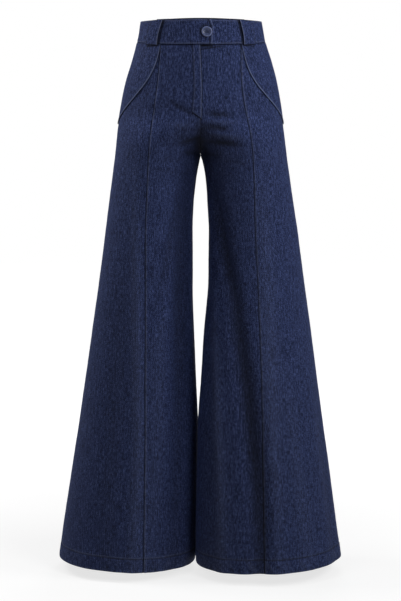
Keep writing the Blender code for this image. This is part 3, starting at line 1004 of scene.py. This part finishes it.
def add_stitch(mesh, start, end, radius, sides=6):
    """One stitch: a short bead of thread that dives in at both its ends."""
    run = end - start
    turn = Vector((0, 0, 1)).rotation_difference(run)
    middle = Matrix.Translation((start + end) / 2) @ turn.to_matrix().to_4x4()
    bmesh.ops.create_uvsphere(
        mesh, u_segments=sides, v_segments=4, radius=1.0,
        matrix=middle @ Matrix.Diagonal((radius, radius, run.length / 2, 1)),
    )


def make_button_thread():
    """Two bars of thread, each of two turns, between the holes."""
    mesh = bmesh.new()
    for height in (1.9 * MM, 2.3 * MM):
        for x in (-HOLE_OFFSET, HOLE_OFFSET):
            add_stitch(mesh, Vector((x, -HOLE_OFFSET - 0.5 * MM, height)),
                       Vector((x, HOLE_OFFSET + 0.5 * MM, height)), 0.55 * MM, 8)
    bmesh.ops.transform(mesh, matrix=button_frame(), verts=mesh.verts[:])
    finish_piece("button_thread", mesh, thread, None, 60)


make_button_thread()


# ---- Stitching --------------------------------------------------------------
# Tone on tone lockstitch rows that hold the folded edges down: hems, yokes,
# waistband, belt loops and fly. The stitches are 2.5 mm long and 3.3 mm apart;
# the thread is about 0.5 mm thick and is drawn 0.7 mm thick, so that it shows.

STITCH_LENGTH = 2.5 * MM
STITCH_STEP = 3.3 * MM
THREAD_RADIUS = 0.36 * MM


def sew(name, path, length):
    """A row of stitches along path(share), a curve of about this length."""
    mesh = bmesh.new()
    count = max(2, round(length / STITCH_STEP))
    half = 0.5 * STITCH_LENGTH / STITCH_STEP / count
    for number in range(count):
        middle = (number + 0.5) / count
        add_stitch(mesh, path(middle - half), path(middle + half), THREAD_RADIUS)
    finish_piece(name, mesh, thread, None, 60)


for side, word in ((-1, "left"), (1, "right")):
    def hem_path(share, side=side):
        angle = mix(-math.pi, math.pi, share)
        return on_form(side, angle, hem_height(side, angle) + HEM_DEPTH, 0.1 * MM)

    def yoke_path(share, side=side):
        spread = mix(0.03, 0.985, share)
        angle, edge = yoke_edge(spread)
        return on_form(side, max(angle, 0.01), edge + 9 * MM, GAP + OVERLAY_CLOTH + 0.2 * MM)

    sew("hem_stitching_" + word, hem_path, 0.85)
    sew("yoke_stitching_" + word, yoke_path, YOKE_EDGE_LENGTH)


def band_row(side, overlap, level, last):
    """The lower (0) or upper (1) row of a band, from the back to a last angle."""
    def path(share):
        travel = mix(-math.pi / 2 + 0.01, last, share)
        low, top = waist_seam(travel), waist_top(travel)
        height = low + BAND_STITCH_IN if level == 0 else top - BAND_STITCH_IN
        return band_point(side, travel, height, band_lift(side, travel, height, overlap) - 0.1 * MM)
    return path


for level, place_word in ((0, "lower"), (1, "upper")):
    sew("band_stitching_left_" + place_word, band_row(-1, True, level, math.pi / 2 + 0.13), 0.36)
    sew("band_stitching_right_" + place_word, band_row(1, False, level, math.pi / 2 - 0.17), 0.31)


for loop_name in LOOPS:
    for edge, edge_word in ((-1, "a"), (1, "b")):
        across = edge * (1 - LOOP_STITCH_IN / LOOP_HALF_WIDTH)

        def loop_path(share, loop_name=loop_name, across=across):
            along = mix(0.05, 0.95, share)
            lift = BAND_LIFT + GAP + LOOP_END + LOOP_BOW * math.sin(math.pi * along) - 0.15 * MM
            return loop_place(loop_name, across, along, lift)

        sew(loop_name + "_stitching_" + edge_word, loop_path, 0.044)


FLY_THREAD_LIFT = GAP + OVERLAY_CLOTH + 0.4 * MM


def fly_foot_path(share):
    """The slanting row that closes the foot of the fly."""
    x, height = mix(-15 * MM, -1 * MM, share), mix(-169 * MM, -180 * MM, share)
    return at_x(x, height, FLY_THREAD_LIFT)


def fly_side_path(share):
    """The row down the fly's left side."""
    height = mix(-42 * MM, -168 * MM, share)
    return at_x(along_line(FLY_LEFT, height) + FLY_STITCH_IN, height, FLY_THREAD_LIFT)


sew("fly_stitching_foot", fly_foot_path, 0.023)
sew("fly_stitching_side", fly_side_path, 0.13)


# ---- Floor, light and camera ------------------------------------------------
# A plain white studio. The jeans hang just over a floor of pale paper that glows
# with painted light, and are lit by a strong softbox at the front right, a weaker
# one at the front left, one at each side, one above and one behind.

FLOOR_BELOW = 14 * MM

floor_mesh = bmesh.new()
bmesh.ops.create_grid(floor_mesh, x_segments=1, y_segments=1, size=14.0)
floor_data = bpy.data.meshes.new("floor")
floor_mesh.to_mesh(floor_data)
floor_mesh.free()
floor_data.transform(Matrix.Translation((0, 4, HEM_OUTER[-1] - HEM_DROP[-1] - FLOOR_BELOW)))

# Seamless background paper: matt white, with a painted glow that is brightest round the jeans.
glowing_paper = bpy.data.materials.new("glowing_paper_floor")
glowing_paper.use_nodes = True
tree = glowing_paper.node_tree
shader = tree.nodes["Principled BSDF"]
for socket, value in (
    ("Base Color", linear("#9c9c9c")), ("Roughness", 0.9), ("Emission Strength", 1.0),
):
    shader.inputs[socket].default_value = value
place = add(tree, "ShaderNodeTexCoord").outputs["Object"]
scaled = add(tree, "ShaderNodeMapping", {"Scale": (0.5, 0.5, 0.0)}, {"Vector": place})
spot = add(
    tree, "ShaderNodeTexGradient", {"gradient_type": "SPHERICAL"},
    {"Vector": scaled.outputs["Vector"]},
)
glow = add(tree, "ShaderNodeValToRGB", {}, {"Fac": spot.outputs["Fac"]})
glow.color_ramp.elements[0].color = linear("#ffffff")
glow.color_ramp.elements[1].color = linear("#e1e1e1")
glow.color_ramp.elements[1].position = 0.8
tree.links.new(glow.outputs["Color"], shader.inputs["Emission Color"])
floor_data.materials.append(glowing_paper)
floor = bpy.data.objects.new("floor", floor_data)
floor.visible_diffuse = False
bpy.context.scene.collection.objects.link(floor)

# White to the camera, but almost no light from all round.
world = bpy.data.worlds.new("studio")
world.use_nodes = True
tree = world.node_tree
sky = tree.nodes["Background"]
sky.inputs["Color"].default_value = (1, 1, 1, 1)
seen = add(tree, "ShaderNodeLightPath").outputs["Is Camera Ray"]
white = add(tree, "ShaderNodeMapRange", {"To Min": 0.04, "To Max": 1.0}, {"Value": seen})
tree.links.new(white.outputs["Result"], sky.inputs["Strength"])
bpy.context.scene.world = world


def softbox(name, place, aim, size, power):
    light = bpy.data.lights.new(name, "AREA")
    light.shape = "RECTANGLE"
    light.size, light.size_y = size
    light.energy = power
    lamp = bpy.data.objects.new(name, light)
    lamp.location = place
    lamp.rotation_mode = "QUATERNION"
    lamp.rotation_quaternion = (Vector(aim) - Vector(place)).to_track_quat("-Z", "Y")
    bpy.context.scene.collection.objects.link(lamp)


softbox("front_right", (1.6, -2.1, 1.1), (0, 0, -0.2), (1.0, 1.0), 25)
softbox("front_left", (-1.4, -1.7, 1.3), (0, 0, -0.2), (1.0, 1.0), 8)
softbox("right_side", (1.6, -0.55, 0.7), (0, 0, -0.2), (0.7, 1.0), 12)
softbox("left_side", (-1.35, 0.25, 0.8), (0, 0, -0.2), (0.7, 0.9), 13)
softbox("top", (0, -0.8, 2.8), (0, 0, -0.2), (1.6, 1.2), 11)
softbox("back", (0.4, 2.6, 0.9), (0, 0, -0.5), (1.2, 1.2), 14)

PHOTO_SCALE = 495.0            # pixels per metre at the middle of the jeans
PHOTO_SIZE = (401, 601)
HORIZON = 220.0                # pixel row level with the camera
CAMERA_AWAY = 2.6
CAMERA_HEIGHT = -0.38

camera_data = bpy.data.cameras.new("camera")
camera_data.sensor_width = 36.0
camera_data.lens = camera_data.sensor_width * CAMERA_AWAY * PHOTO_SCALE / PHOTO_SIZE[1]
camera_data.shift_y = (HORIZON - PHOTO_SIZE[1] / 2) / PHOTO_SIZE[1]
camera = bpy.data.objects.new("camera", camera_data)
camera.location = (0, -CAMERA_AWAY, CAMERA_HEIGHT)
camera.rotation_euler = (math.pi / 2, 0, 0)
bpy.context.scene.collection.objects.link(camera)
bpy.context.scene.camera = camera
bpy.context.scene.view_settings.view_transform = "Standard"
